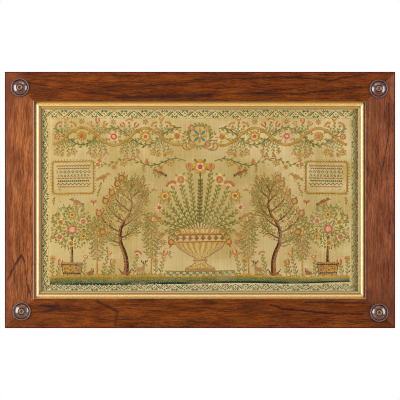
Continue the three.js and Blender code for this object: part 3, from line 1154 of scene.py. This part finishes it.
def scroll():
    start, wave = scrollLook["start"], scrollLook["wave"]
    path = [complex(x, scrollLook["height"] + scrollLook["swing"] * math.sin((x - start) / wave))
            for x in np.arange(34, 232, 2.7)]
    limb(path, 2.2, 1.4, "pine", "moss")
    for k, i in enumerate(range(4, len(path) - 1, 3)):
        side = 1 if k % 2 else -1
        leaf(greens[k % 5], path[i], headingAt(path, i) + side * 48, 9.5, 4.3, -side * 30)
    for k, i in enumerate(range(8, len(path) - 1, 10)):
        side = 1 if math.cos((path[i].real - start) / wave + 1) > 0 else -1
        twig = trail(path[i], headingAt(path, i) + side * 60, 13, -side * 40, step=2)
        stem("moss", twig, 1.1)
        scrollLook["blooms"][k % 4](*endOf(twig))
    rose(path[-1] + 4, 8, "straw", "coral", "ochre")


# A wreath in the middle of the upper band, with four tails of ribbon
wreathLook = {"centre": complex(0, 148), "radius": 26, "leaves": 44, "star": 17,
              "tails": ((0, "ochre"), (14, "tan"))}


def wreath():
    centre, radius = wreathLook["centre"], wreathLook["radius"]
    stem("moss", [centre + ray(a, radius) for a in range(0, 366, 6)], 1.5, 0.4)
    for k in range(wreathLook["leaves"]):
        angle = 90 + 360 * (k + 0.5) / wreathLook["leaves"]
        leaf(greens[k % 5], centre + ray(angle, radius), angle + (56 if k % 2 else 122), 9, 4)
    for k in range(4):
        rose(centre + ray(45 + 90 * k, radius), 7, "coral" if k % 2 else "ochre")
    star(centre, wreathLook["star"])
    for side in both:
        for drop, thread in wreathLook["tails"]:
            start = centre + ray(-90 + side * 26, radius)
            ribbon(trail(start, -90 + side * 38, 34 + drop, side * 95, side * 140, 2), 2.6, thread, "rust")


# An urn on a low step. Its outline is heights, and half widths at them; mouldings and band are from and to
urnLook = {
    "heights": (-163, -158, -153, -145, -139, -134, -127, -112, -96, -84, -76, -70, -64),
    "halves": (34, 34, 24, 11, 16, 11, 25, 50, 61, 58, 44, 47, 57),
    "mouldings": ((-163, -158), (-141, -137), (-79, -76), (-67, -64)), "band": (-98, -79), "bandEdge": 3,
    "ribDegrees": 15, "berryPitch": 5.4, "handleFrom": complex(44, -76), "chequer": 15,
    "stepBottom": -178, "stepTop": -163, "stepHalf": 84,
}


def urnHalf(z):
    return float(np.interp(z, urnLook["heights"], urnLook["halves"]))


def urnThread(x, z):
    share = x / max(urnHalf(z), 1)
    rib = math.degrees(math.asin(max(-1, min(1, share)))) / urnLook["ribDegrees"]
    raised = abs(rib % 1 - 0.5) < 0.28
    low, high = urnLook["band"]
    if any(foot < z < top for foot, top in urnLook["mouldings"]):
        return "tan", 0.5
    if z > high:
        # the neck
        return ("straw" if raised else "ochre"), 0.55
    if z > low:
        # lozenges between two lines
        if z < low + urnLook["bandEdge"] or z > high - urnLook["bandEdge"]:
            return "rust", 0.5
        apart = abs((x / urnLook["chequer"]) % 1 - 0.5) * 2 + abs(z - (low + high) / 2) / 8
        return ("fern", 0.4) if apart < 0.5 else ("coral", 0.4) if apart < 0.85 else ("straw", 0.5)
    return ("straw" if raised else "ochre" if abs(share) < 0.75 else "tan"), 0.55 - 0.2 * abs(share)


def stepHalf(z):
    return urnLook["stepHalf"] - (3 if z > urnLook["stepTop"] - 3 else 0)


def stepThread(x, z):
    # two rows of chequers under a moss edge
    low, high = urnLook["stepBottom"] + 2, urnLook["stepTop"] - 3
    if z > high:
        return "moss", 0.5
    if z < low:
        return "tan", 0.4
    column = x / urnLook["chequer"] + (0.5 if z > (low + high) / 2 else 0)
    return ("teal", 0.5) if abs(column % 1 - 0.5) < 0.25 else ("straw", 0.5)


def urn():
    bottom, top = urnLook["heights"][0], urnLook["heights"][-1]
    filled(urnLook["stepBottom"], urnLook["stepTop"], lambda z: -stepHalf(z), stepHalf, stepThread, 1.5, 3.75)
    filled(bottom, top, lambda z: -urnHalf(z), urnHalf, urnThread, 1.35, 3.0)
    for side in both:
        edge = [complex(side * urnHalf(z), z) for z in np.arange(bottom, top + 1, 2.4)]
        stem("rust", edge, 1.4, 0.35, 0.1)
        spot = urnLook["handleFrom"]
        handle = trail(complex(side * spot.real, spot.imag), 90 - side * 50, 66, -side * 215, -side * 60)
        ribbon(handle, 4.2, "ochre", "rust")
    for x in np.arange(-54, 55, urnLook["berryPitch"]):
        berry(complex(x, top - 1.5), 2.1, "coral" if round(x / urnLook["berryPitch"]) % 2 else "straw")


bouquetLook = {
    "mouth": complex(0, -64), "height": 126,
    # start along the mouth, heading, length, bend, what it carries
    "stalks": [
        (6, 79, 132, 6, opening(tulip, 19, "ochre", "coral")),
        (11, 67, 116, 12, beyond(0, rose, 14, "straw", "coral", "ochre", 10)),
        (17, 54, 104, 18, opening(carnation, 20, "coral", "straw")),
        (23, 40, 94, 24, beyond(0, rose, 13, "ochre", "straw", "rust", 30)),
        (29, 27, 80, 18, beyond(0, daisy, 12, "blush", "rust", 9)),
        (35, 13, 62, 4, opening(bell, 17)),
        (40, -4, 48, -26, opening(tulip, 15, "ochre", "coral")),
        (45, -22, 36, -60, opening(pomegranate, 8, 6)),
    ],
    # twigs with a berry: share of the stalk, side
    "twigs": ((0.4, 1), (0.62, -1), (0.8, 1)),
}


def bouquet():
    main = trail(bouquetLook["mouth"], 90, bouquetLook["height"])
    limb(main, 3.0, 2.0, "pine", "moss")
    rose(complex(0, 76), 17, "ochre", "blush", "rust", 18)
    for i in range(4, len(main) - 6, 3):
        for side in both:
            leaf("moss" if i % 2 else "sage", main[i], 90 + side * 50, 9.6, 4.6, -side * 30)
    for start, heading, length, bend, carried in bouquetLook["stalks"]:
        path = trail(bouquetLook["mouth"] + start, heading, length, bend)
        limb(path, 2.3, 1.6, "pine", "moss")
        for k, i in enumerate(range(3, len(path) - 4, 2)):
            turn = 1 if k % 2 else -1
            leaf(greens[(k + start) % 5], path[i], headingAt(path, i) + turn * 50, 10, 4.6, -turn * 30)
        for share, turn in bouquetLook["twigs"]:
            i = round(share * len(path))
            twig = trail(path[i], headingAt(path, i) + turn * 42, 17, -turn * 60, step=2)
            stem("moss", twig, 1.0)
            berry(twig[-1], 2.7, "coral" if turn > 0 else "ochre")
        carried(*endOf(path))


# Trees. The sapling's twigs get shorter towards its foot and its top
saplingLook = {"lean": 92, "trunk": (4.6, 1.6), "twigEvery": 14, "leafWidth": 4.0}
treeLook = {
    "trunk": (12.5, 3.2), "branch": (4.2, 1.5),
    # heading, length, bend
    "bends": [(102, 66, -38), (64, 70, 66), (130, 68, -64)],
    "roots": [(158, 20, -40), (24, 22, 40), (176, 13, -40), (4, 12, 40)],
    # share of the trunk, heading, length, bend
    "branches": [
        (0.36, 14, 44, 34), (0.43, 164, 56, -46), (0.5, 20, 60, 40), (0.57, 156, 62, -40), (0.64, 26, 58, 40),
        (0.7, 160, 56, -50), (0.76, 32, 54, 26), (0.82, 156, 48, -42), (0.88, 40, 46, 22),
        (0.93, 146, 38, -30), (1.0, 66, 30, -10), (1.0, 112, 24, 14),
    ],
    # share of the branch, side
    "twigs": ((0.3, 1), (0.45, -1), (0.6, 1), (0.75, -1), (0.88, 1)),
    "leaves": ("moss", "ochre", "sage", "moss", "tan", "fern"),
}


def foliage(path, count, reach):
    for k in range(count):
        i = dice.randrange(1, len(path))
        side, heading = dice.choice(both), headingAt(path, i)
        base = path[i] + ray(heading + side * 90, dice.uniform(0, 1) ** 0.8 * reach)
        thread = dice.choice(treeLook["leaves"])
        dash(thread, base, heading + side * dice.uniform(15, 70), dice.uniform(5, 8), 2.3)


def sapling(foot, height, half, used):
    # a slender tree with feathery twigs
    trunk = trail(foot, saplingLook["lean"], height, -6, step=3.4)
    limb(trunk, *saplingLook["trunk"], "tan", "ochre")
    count = round(height / saplingLook["twigEvery"])
    for k in range(count):
        share = 0.3 + 0.7 * k / (count - 1)
        for side in both:
            i = min(len(trunk) - 1, round(share * (len(trunk) - 1)) + (side > 0))
            reach = half * math.sin(math.pi * (0.16 + 0.78 * (share - 0.2))) * dice.uniform(0.85, 1.1) + 4
            twig = trail(trunk[i], 90 - side * (66 - 34 * share), reach, side * 26)
            stem("tan", twig, 1.3, 0.4)
            for j in range(1, len(twig), 3):
                for turn in both:
                    thread = dice.choice(used)
                    heading = headingAt(twig, j) + turn * dice.uniform(36, 62)
                    leaf(thread, twig[j], heading, dice.uniform(7.5, 9.5), saplingLook["leafWidth"],
                         -turn * 20, 1.2)
    for lean in both:
        limb(trail(foot + 1.5j, 90 + lean * 66, 9, lean * 20), 2.4, 1.3, "tan", "ochre")


def fruitTree(foot):
    trunk = [foot]
    for heading, length, bend in treeLook["bends"]:
        trunk += trail(trunk[-1], heading, length, bend, step=3.4)[1:]
    limb(trunk, *treeLook["trunk"])
    for heading, length, bend in treeLook["roots"]:
        limb(trail(foot + 2j, heading, length, bend), 4.2, 1.4)
    for k, (share, heading, length, bend) in enumerate(treeLook["branches"]):
        i = min(len(trunk) - 1, round(share * (len(trunk) - 1)))
        path = trail(trunk[i], heading, length, bend)
        limb(path, *treeLook["branch"])
        side = 1 if heading < 90 else -1
        foliage(path, 40, 8)
        for start, turn in treeLook["twigs"]:
            j = round(start * (len(path) - 1))
            twig = trail(path[j], headingAt(path, j) + side * turn * 46, 21, -side * turn * 50)
            stem("bark" if k % 2 else "rust", twig, 1.2)
            foliage(twig, 13, 5.5)
            if (k + round(start * 7)) % 4 == 0:
                daisy(twig[-1], 5.4, "straw" if k % 2 else "blush", "rust", 6)
        fruit = beyond(3, berry, 3.6) if k % 2 else opening(pomegranate, 8.4, 7)
        fruit(*endOf(path))


# A rose tree in a tub: a rounded head of leaves, with roses through it
tubLook = {
    "x": 296, "bottom": -175, "top": -144, "half": 20, "flare": 0.17, "bands": (-169, -149), "stave": 6.2,
    "heart": -62, "headHalf": 46, "headHeight": 50, "leaves": 620,
    "kinds": (("coral", "blush", "straw"), ("blush", "coral", "ochre"), ("straw", "ochre", "coral"),
              ("ochre", "straw", "rust")),
    # x and z from the heart, radius, kind
    "roses": ((0, 28, 9.5, 3), (-26, 13, 9, 1), (26, 11, 9, 2), (0, -6, 11, 0), (-27, -21, 9, 3),
              (28, -23, 9, 1), (2, -38, 9, 2)),
}


def tubHalf(z):
    return tubLook["half"] + (z - tubLook["bottom"]) * tubLook["flare"]


def tubThread(x, z):
    local = x - tubLook["x"]
    if any(abs(z - band) < 1.6 for band in tubLook["bands"]):
        return "bark", 0.6
    if abs((local / tubLook["stave"]) % 1 - 0.5) < 0.14:
        return "rust", 0.4
    return ("tan", 0.5) if local < -8 else ("ochre", 0.55)


def roseTub():
    x, bottom, top = tubLook["x"], tubLook["bottom"], tubLook["top"]
    filled(bottom, top, lambda z: x - tubHalf(z), lambda z: x + tubHalf(z), tubThread)
    for side in both:
        edge = [complex(x + side * tubHalf(z), z) for z in np.arange(bottom, top + 1, 2.6)]
        stem("bark", edge, 1.3, 0.4, 0.1)
    limb(trail(complex(x, top), 93, 62, -8, step=3.4), 7, 4)
    heart = complex(x, tubLook["heart"])
    for k in range(tubLook["leaves"]):
        angle, reach = dice.uniform(0, 360), math.sqrt(dice.random())
        out = ray(angle, reach)
        spot = heart + complex(out.real * tubLook["headHalf"], out.imag * tubLook["headHeight"])
        thread = dice.choice(greens)
        if dice.random() < 0.5:
            heading, length = angle + dice.uniform(-50, 50), dice.uniform(4.5, 7)
            dash(thread, spot, heading, length, 2.0, 0.35 + 0.3 * dice.random())
        elif k % 2:
            leaf(thread, spot, angle + dice.uniform(-50, 50), 7.5, 3.6)
    for offX, offZ, radius, kind in tubLook["roses"]:
        rose(heart + complex(offX, offZ), radius, *tubLook["kinds"][kind], offX)


# A panel of small cross stitch patterns, each a short repeat, in a ribbon edge with rounded corners
tabletLook = {
    "low": complex(246, 16), "high": complex(340, 88), "radius": 7, "ribbon": 3.4, "pitch": 1.55, "margin": 7,
    "patterns": [
        ["#...", ".#.#", "..#."],
        ["##.", ".##"],
        ["..#...", ".#.#..", "#...#.", ".#.#..", "..#..."],
        ["#.#..", ".#...", "#.#.."],
        ["###.", "#.#."],
        [".#.", "###", ".#."],
        ["#....#", ".#..#.", "..##.."],
        ["#.", ".#"],
    ],
    "threads": ("bark", "rust", "pine"),
}


def tablet():
    low, high, radius = tabletLook["low"], tabletLook["high"], tabletLook["radius"]
    corners = ((high.real - radius, high.imag - radius, 0), (low.real + radius, high.imag - radius, 90),
               (low.real + radius, low.imag + radius, 180), (high.real - radius, low.imag + radius, 270))
    edge = [complex(x, z) + ray(start + a, radius) for x, z, start in corners for a in range(0, 91, 18)]
    edge.append(edge[0])
    dense = []
    for a, b in zip(edge, edge[1:]):
        pieces = max(1, round(abs(b - a) / 3.2))
        dense += [a + (b - a) * k / pieces for k in range(pieces)]
    dense.append(dense[0])
    ribbon(dense, tabletLook["ribbon"], "ochre", "rust")
    for k in range(0, len(dense) - 1, 2):
        out = dense[k] - (low + high) / 2
        out /= abs(out)
        sew("sage" if k % 4 else "moss", dense[k] + out * 2.2, dense[k] + out * 6.4, 2.0, 0.5)
    pitch, margin = tabletLook["pitch"], tabletLook["margin"]
    z = high.imag - margin - 0.5
    for number, rows in enumerate(tabletLook["patterns"]):
        if z - len(rows) * pitch < low.imag + 4:
            break
        inset = 3 * (number % 2)
        count = int((high.real - low.real - 2 * (margin + inset)) / pitch)
        chart([(row * count)[:count] for row in rows], {"#": tabletLook["threads"][number % 3]},
              complex(low.real + margin + inset, z), pitch)
        z -= (len(rows) + 1.5) * pitch


# What stands in the open field on the right half: where, then the rest of what each is worked from
fieldLook = {
    "fruitTree": complex(172, -175),
    "saplings": [(complex(113, -175), 122, 27, ("moss", "sage", "moss", "fern", "tan")),
                 (complex(238, -174), 108, 23, ("moss", "sage", "tan", "moss", "fern"))],
    "birds": [(complex(276, -8), 26, 1, "rust", "bark", "ochre"),
              (complex(232, 50), 25, -1, "tan", "rust", "ochre"),
              (complex(96, -40), 24, 1, "tan", "rust", "ochre"),
              (complex(84, 60), 24, 1, "rust", "bark", "tan")],
    "butterflies": [(complex(246, -8), 10), (complex(86, -128), 9, "ochre", "blush"),
                    (complex(106, 26), 10, "blush", "ochre")],
    "stars": [(complex(240, -44), 9), (complex(86, -98), 8, "coral", "moss")],
    # plants that grow along the ground: x, heading, kind of flower
    "flowers": (opening(tulip, 13), beyond(4, daisy, 8, "ochre", "coral", 8), opening(carnation, 13),
                opening(bell, 13)),
    "plants": [(92, 96, 0), (101, 80, 1), (153, 94, 2), (200, 84, 1), (210, 96, 0), (224, 98, 3),
               (268, 88, 3), (330, 96, 0), (342, 86, 1)],
    # small sprigs over the open linen: x, z, heading
    "sprigs": [(72, -112, 100), (70, -136, 80), (92, -12, 100), (104, 52, 80), (232, 22, 95), (238, 6, 100),
               (340, -12, 90), (346, -100, 95), (214, -128, 80), (204, -100, 120), (340, -52, 80),
               (130, 62, 80), (128, 40, 70), (110, 60, 100)],
    "crosses": 60, "crossPitch": 2.0,
}
# Animals from charts: left edge on the right and on the left half, top, pitch, threads, rows downwards
animals = [
    (120, -147, -141, 2.3, {"t": "tan", "b": "bark", "s": "ivory"},
     ["b.b...b.....", ".bb.b.b.....", "..b.bb......", "..ttb.......", ".tttt.......", "tt.tt.......",
      "...ttt......", "...ttttttt..", "...tttttttts", "...ttttttttt", "....tttttt.t", "...t.t..tt..",
      "...t.t..t.t.", "...t.t..t.t.", "...b.b..b.b."]),
    (244, -263, -158, 2.1, {"t": "rust", "b": "bark", "i": "ivory"},
     ["t.t......", "t.t......", "ttt......", "btttt....", "ttttttt..", ".ttttttti", ".tttttttt",
      ".tt.ttt.."]),
]


def field():
    fruitTree(fieldLook["fruitTree"])
    roseTub()
    for row in fieldLook["saplings"]:
        sapling(*row)
    tablet()
    for motif, rows in ((bird, "birds"), (butterfly, "butterflies"), (star, "stars")):
        for row in fieldLook[rows]:
            motif(*row)
    for x, heading, kind in fieldLook["plants"]:
        height = 28 + 9 * ((x + kind) % 3)
        sprig(complex(x, groundTop(x)), heading, height, 12, 4.4, 9, fieldLook["flowers"][kind], 1.4)


def grazing():
    for side in both:
        for right, left, top, pitch, key, rows in animals:
            facing = rows if side > 0 else [row[::-1] for row in rows]
            chart(facing, key, complex(right if side > 0 else left, top), pitch)


def scattered():
    for x, z, heading in fieldLook["sprigs"]:
        sprig(complex(x, z), heading, 15, 18, 3.6, 6, beyond(2, berry, 2.5))
    for k in range(fieldLook["crosses"]):
        spot = complex(dice.uniform(62, 338), dice.uniform(-150, 98))
        cross(dice.choice(("coral", "moss", "ochre", "sage")), spot, fieldLook["crossPitch"])


border()
ground()
mirrored(vine, scroll)
wreath()
urn()
mirrored(bouquet, field)
grazing()
mirrored(scattered)
print("stitches", sum(len(rows) for rows in sewn.values()))

# Where a stitch's points lie: share of its length, side, height; and its faces
shortStitch = ([(0, 0, 0), (1, 0, 0), (0.5, 0.5, 0), (0.5, -0.5, 0), (0.5, 0, 1)],
               [(0, 3, 4), (3, 1, 4), (1, 2, 4), (2, 0, 4), (0, 2, 1), (0, 1, 3)])
longStitch = ([(0, 0, 0), (0.2, 0.5, 0), (0.2, 0, 1), (0.2, -0.5, 0), (0.8, 0.5, 0), (0.8, 0, 1),
               (0.8, -0.5, 0), (1, 0, 0)],
              [(0, 3, 2), (1, 0, 2), (2, 3, 6), (2, 6, 5), (1, 2, 5), (1, 5, 4), (6, 7, 5), (7, 4, 5),
               (0, 1, 3), (1, 4, 6), (1, 6, 3), (4, 7, 6)])


# Faded patches: tone, share and size; and how fine the strands of a thread look
silkLook = {"faded": (196, 172, 118), "fading": 0.35, "patch": 60, "strand": 0.5}


def silk(thread):
    dark, light = threads[thread]
    patch, strandSize = silkLook["patch"], silkLook["strand"]
    silky = Finish("silk_" + thread, Sheen_Weight=0.06, Sheen_Roughness=0.4, Specular_IOR_Level=0.22)
    x, y, z = silky.place()
    patches = silky.noise(x / patch, z / patch, len(thread))
    strand = silky.noise(x / strandSize, y / strandSize, z / strandSize, 1.0)
    shade = silky.attribute("shade") + (strand - 0.5) * 0.5
    colour = silky.mix(silky.step(shade, 0.0, 1.0), paint(*dark), paint(*light))
    faded = silky.step(patches, 0.45, 0.75) * silkLook["fading"]
    silky.give("Base Color", silky.wash(colour, faded, silkLook["faded"]))
    silky.give("Roughness", 0.52 + strand * 0.2)
    return silky.material


def stitchPoints(stitches, runs, spots):
    # stitches are rows as sewn, runs are their lengths as vectors, and spots are the points of one stitch
    lengths = np.hypot(runs[:, 0], runs[:, 1])
    sideways = np.stack((-runs[:, 1], runs[:, 0]), 1) / lengths[:, None] * stitches[:, 4:5]
    ahead, aside, raised = spots[None, :, 0:1], spots[None, :, 1:2], spots[None, :, 2]
    flat = stitches[:, None, 0:2] + runs[:, None, :] * ahead + sideways[:, None, :] * aside
    front = clothLook["front"] + clothRise(flat[..., 0], flat[..., 1]) - needle["sunk"]
    height = front + stitches[:, None, 5] * raised + stitches[:, None, 6] * (0.35 + 0.65 * raised)
    return np.stack((flat[..., 0], -height, flat[..., 1] + middleZ), -1).reshape(-1, 3)


def threadPiece(thread, stitches):
    stitches = np.array(stitches)
    # nothing drawn by hand is quite straight
    x, z = stitches[:, [0, 2]], stitches[:, [1, 3]]
    stitches[:, [0, 2]] = x + needle["drift"] * np.sin(z / 31 + x / 74)
    stitches[:, [1, 3]] = z + needle["drift"] * np.sin(x / 37 + z / 90 + 1)
    runs = stitches[:, 2:4] - stitches[:, 0:2]
    isLong = np.hypot(runs[:, 0], runs[:, 1]) > needle["longFrom"] * stitches[:, 4]
    points, faces, shades, total = [], [], [], 0
    for (spots, corners), chosen in ((shortStitch, ~isLong), (longStitch, isLong)):
        count = int(chosen.sum())
        points.append(stitchPoints(stitches[chosen], runs[chosen], np.array(spots)))
        starts = total + len(spots) * np.arange(count)
        faces.append((starts[:, None, None] + np.array(corners)[None]).reshape(-1, 3))
        shades.append(np.repeat(stitches[chosen, 7], len(spots)))
        total += len(spots) * count
    points, faces, shades = np.concatenate(points) * mm, np.concatenate(faces), np.concatenate(shades)
    mesh = bpy.data.meshes.new("silk_" + thread)
    mesh.from_pydata(points.tolist(), [], faces.tolist())
    mesh.attributes.new("shade", "FLOAT", "POINT").data.foreach_set("value", shades.astype(np.float32))
    spots = points[faces.reshape(-1)] / mm
    bake = np.stack((spots[:, 0] / clothWidth + 0.5, (spots[:, 2] - middleZ) / clothHeight + 0.5), 1)
    mesh.uv_layers.new(name="OFBake").data.foreach_set("uv", bake.astype(np.float32).ravel())
    mesh.shade_smooth()
    print("silk", thread, len(stitches), "stitches", len(faces), "triangles")
    return placed("silk_" + thread, mesh, silk(thread))


silkPieces = [threadPiece(thread, stitches) for thread, stitches in sewn.items()]
print("thread triangles", sum(len(piece.data.polygons) for piece in silkPieces))

# The room, in metres and watts. Softboxes are: place, width and height, power
roomLook = {
    "floor": -1.11, "floorHalf": 1.0, "floorTones": ((238, 237, 235), (226, 225, 222)),
    "cameraDistance": 5.0, "seenWidth": 0.922, "sensor": 36, "farthest": 50,
    "whiteLight": 0.22, "whiteSeen": 1.0,
    "softboxes": {
        "left": ((-1.5, -1.2, -0.15), (1.0, 1.5), 26.5), "right": ((1.6, -1.2, -0.15), (0.8, 1.5), 17),
        "above": ((0, -1.5, 1.7), (1.8, 0.6), 19), "behind": ((0.9, 2.4, 0.9), (1.6, 1.2), 26),
    },
}


def plainFloor():
    bm = bmesh.new()
    bmesh.ops.create_grid(bm, x_segments=2, y_segments=2, size=roomLook["floorHalf"])
    bmesh.ops.translate(bm, verts=bm.verts, vec=(0, 0, roomLook["floor"]))
    mesh = bpy.data.meshes.new("floor")
    bm.to_mesh(mesh)
    bm.free()
    floor = inScene("floor", mesh)
    pale = Finish("pale_floor", Roughness=0.8)
    x, y, z = pale.place()
    cloud = pale.noise(x / 40, y / 40, z) * 0.3
    pale.give("Base Color", pale.mix(cloud, *(paint(*tone) for tone in roomLook["floorTones"])))
    mesh.materials.append(pale.material)


def softbox(name, place, size, power):
    data = bpy.data.lights.new(name, "AREA")
    data.shape = "RECTANGLE"
    data.size, data.size_y = size
    data.energy = power
    lamp = inScene(name, data)
    lamp.location = place
    aim = Vector((0, 0, middleZ * mm)) - Vector(place)
    lamp.rotation_euler = aim.to_track_quat("-Z", "Y").to_euler()


def whiteRoom():
    # dim as a light, and white where the camera sees it
    world = bpy.data.worlds.new("white_room")
    bpy.context.scene.world = world
    world.use_nodes = True
    nodes, links = world.node_tree.nodes, world.node_tree.links
    nodes.clear()
    choose, output = nodes.new("ShaderNodeMixShader"), nodes.new("ShaderNodeOutputWorld")
    for number, strength in enumerate((roomLook["whiteLight"], roomLook["whiteSeen"])):
        background = nodes.new("ShaderNodeBackground")
        background.inputs["Color"].default_value = (1, 1, 1, 1)
        background.inputs["Strength"].default_value = strength
        links.new(background.outputs[0], choose.inputs[number + 1])
    path = nodes.new("ShaderNodeLightPath")
    links.new(path.outputs["Is Camera Ray"], choose.inputs[0])
    links.new(choose.outputs[0], output.inputs["Surface"])


def frontCamera():
    data = bpy.data.cameras.new("camera")
    data.sensor_width = roomLook["sensor"]
    data.lens = roomLook["sensor"] * roomLook["cameraDistance"] / roomLook["seenWidth"]
    data.clip_end = roomLook["farthest"]
    camera = inScene("camera", data)
    camera.location = (0, -railFace * mm - roomLook["cameraDistance"], middleZ * mm)
    camera.rotation_euler = (math.pi / 2, 0, 0)
    bpy.context.scene.camera = camera


plainFloor()
for side, (place, size, power) in roomLook["softboxes"].items():
    softbox("softbox_" + side, place, size, power)
whiteRoom()
frontCamera()
bpy.context.scene.view_settings.view_transform = "Standard"
bpy.context.scene.cycles.filter_width = 1.0
print("camera and light set")
